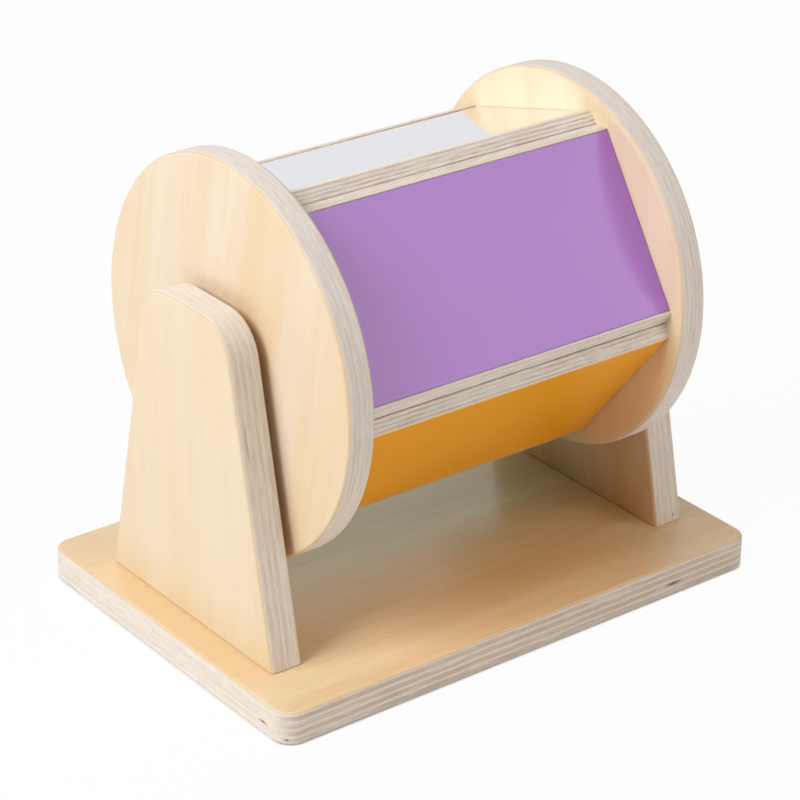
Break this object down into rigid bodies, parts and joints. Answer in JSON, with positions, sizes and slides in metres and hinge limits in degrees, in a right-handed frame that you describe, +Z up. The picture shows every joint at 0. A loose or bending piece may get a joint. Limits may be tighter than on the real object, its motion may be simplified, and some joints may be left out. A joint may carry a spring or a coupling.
{
  "type": "spinning colour drum",
  "caption": "Baby's spinning drum: a flat-sided plywood drum with a mirror and smooth coloured faces turns on an axle between tapered uprights on a base board.",
  "frame": {"origin": "on the ground under the middle of the base board", "axes": "+X along the axle and the base's length, +Y to the back, +Z up"},
  "size_m": [0.286, 0.2, 0.2432],
  "materials": {
    "plywood": "pale plywood with a clear satin lacquer, its layered edges left showing",
    "dowel_wood": "plain turned beech",
    "nylon": "natural nylon",
    "zinc_screw": "zinc-plated steel",
    "mirror_acrylic": "acrylic mirror sheet",
    "purple_laminate": "smooth satin purple",
    "orange_laminate": "smooth satin orange",
    "green_laminate": "smooth satin green",
    "blue_laminate": "smooth satin blue"
  },
  "bodies": {
    "stand": {"axle": "dowel_wood", "base_board": "plywood", "left_back_screw": "zinc_screw", "left_front_screw": "zinc_screw", "left_spacer": "nylon", "left_upright": "plywood", "right_back_screw": "zinc_screw", "right_front_screw": "zinc_screw", "right_spacer": "nylon", "right_upright": "plywood"},
    "drum": {"blue_facing": "blue_laminate", "blue_left_back_dowel": "dowel_wood", "blue_left_front_dowel": "dowel_wood", "blue_right_back_dowel": "dowel_wood", "blue_right_front_dowel": "dowel_wood", "blue_stave": "plywood", "green_facing": "green_laminate", "green_left_back_dowel": "dowel_wood", "green_left_front_dowel": "dowel_wood", "green_right_back_dowel": "dowel_wood", "green_right_front_dowel": "dowel_wood", "green_stave": "plywood", "left_bush": "nylon", "left_disc": "plywood", "mirror_left_back_dowel": "dowel_wood", "mirror_left_front_dowel": "dowel_wood", "mirror_right_back_dowel": "dowel_wood", "mirror_right_front_dowel": "dowel_wood", "mirror_sheet": "mirror_acrylic", "mirror_stave": "plywood", "orange_facing": "orange_laminate", "orange_left_back_dowel": "dowel_wood", "orange_left_front_dowel": "dowel_wood", "orange_right_back_dowel": "dowel_wood", "orange_right_front_dowel": "dowel_wood", "orange_stave": "plywood", "purple_facing": "purple_laminate", "purple_left_back_dowel": "dowel_wood", "purple_left_front_dowel": "dowel_wood", "purple_right_back_dowel": "dowel_wood", "purple_right_front_dowel": "dowel_wood", "purple_stave": "plywood", "right_bush": "nylon", "right_disc": "plywood"}
  },
  "joints": [
    {"name": "drum_spin", "type": "hinge", "parent": "stand", "child": "drum", "pos_m": [0, 0, 0.1467], "axis": [1, 0, 0], "continuous": true}
  ]
}
